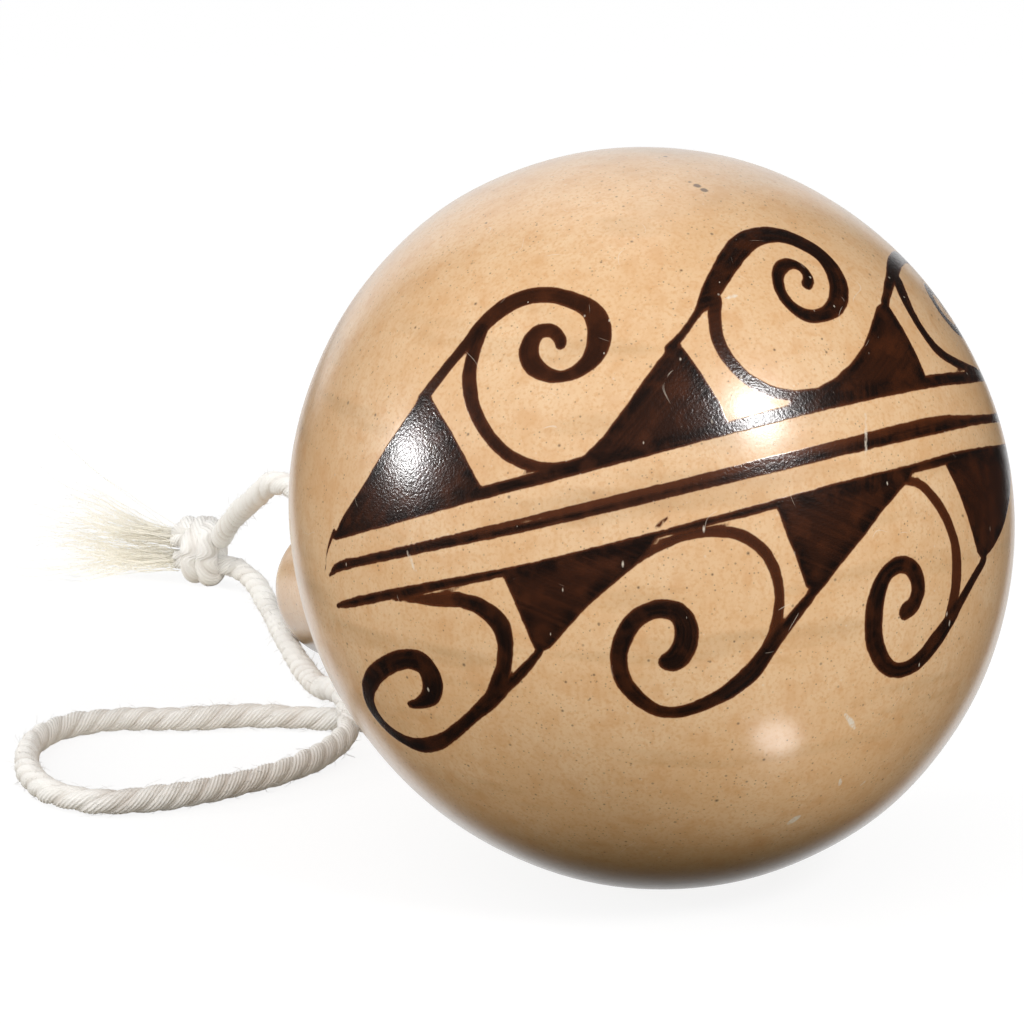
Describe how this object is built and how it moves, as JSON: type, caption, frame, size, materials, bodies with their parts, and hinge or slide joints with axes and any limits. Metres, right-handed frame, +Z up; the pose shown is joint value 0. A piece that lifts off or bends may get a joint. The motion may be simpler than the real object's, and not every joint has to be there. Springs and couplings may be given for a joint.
{
  "type": "clay rattle",
  "caption": "Hand-built clay rattle: hollow polished ball with loose pellets inside, a tapered clay handle and a knotted cotton wrist cord.",
  "frame": {"origin": "on the table under the ball's centre, on the small flat that the ball rests on", "axes": "+Z up from the table, +Y along the lying handle away from the ball, +X to the right seen from the ball's front"},
  "size_m": [0.0995, 0.2188, 0.0828],
  "materials": {
    "polished_clay": "stone-polished buff slip with brushed dark paint",
    "raw_clay": "unslipped, matt",
    "cotton_cord": "twisted off-white cotton"
  },
  "bodies": {
    "rattle": {"front_half_shell": "polished_clay", "rear_half_shell": "polished_clay", "seam_coil": "polished_clay", "handle": "polished_clay", "neck_coil": "polished_clay", "cord_short_strand": "cotton_cord", "cord_long_strand": "cotton_cord", "cord_knot": "cotton_cord", "frayed_end_short": "cotton_cord", "frayed_end_long": "cotton_cord"},
    "loose_pellet_1": {"pellet_1": "raw_clay"},
    "loose_pellet_2": {"pellet_2": "raw_clay"},
    "loose_pellet_3": {"pellet_3": "raw_clay"},
    "loose_pellet_4": {"pellet_4": "raw_clay"},
    "loose_pellet_5": {"pellet_5": "raw_clay"},
    "loose_pellet_6": {"pellet_6": "raw_clay"},
    "loose_pellet_7": {"pellet_7": "raw_clay"},
    "loose_pellet_8": {"pellet_8": "raw_clay"},
    "loose_pellet_9": {"pellet_9": "raw_clay"}
  },
  "joints": [
    {"name": "pellet_1_roll", "type": "hinge", "parent": "rattle", "child": "loose_pellet_1", "pos_m": [0, 0, 0.0413], "axis": [1, 0, 0], "continuous": true},
    {"name": "pellet_2_roll", "type": "hinge", "parent": "rattle", "child": "loose_pellet_2", "pos_m": [0, 0, 0.0413], "axis": [1, 0, 0], "continuous": true},
    {"name": "pellet_3_roll", "type": "hinge", "parent": "rattle", "child": "loose_pellet_3", "pos_m": [0, 0, 0.0413], "axis": [1, 0, 0], "continuous": true},
    {"name": "pellet_4_roll", "type": "hinge", "parent": "rattle", "child": "loose_pellet_4", "pos_m": [0, 0, 0.0413], "axis": [1, 0, 0], "continuous": true},
    {"name": "pellet_5_roll", "type": "hinge", "parent": "rattle", "child": "loose_pellet_5", "pos_m": [0, 0, 0.0413], "axis": [1, 0, 0], "continuous": true},
    {"name": "pellet_6_roll", "type": "hinge", "parent": "rattle", "child": "loose_pellet_6", "pos_m": [0, 0, 0.0413], "axis": [1, 0, 0], "continuous": true},
    {"name": "pellet_7_roll", "type": "hinge", "parent": "rattle", "child": "loose_pellet_7", "pos_m": [0, 0, 0.0413], "axis": [1, 0, 0], "continuous": true},
    {"name": "pellet_8_roll", "type": "hinge", "parent": "rattle", "child": "loose_pellet_8", "pos_m": [0, 0, 0.0413], "axis": [1, 0, 0], "continuous": true},
    {"name": "pellet_9_roll", "type": "hinge", "parent": "rattle", "child": "loose_pellet_9", "pos_m": [0, 0, 0.0413], "axis": [1, 0, 0], "continuous": true}
  ]
}
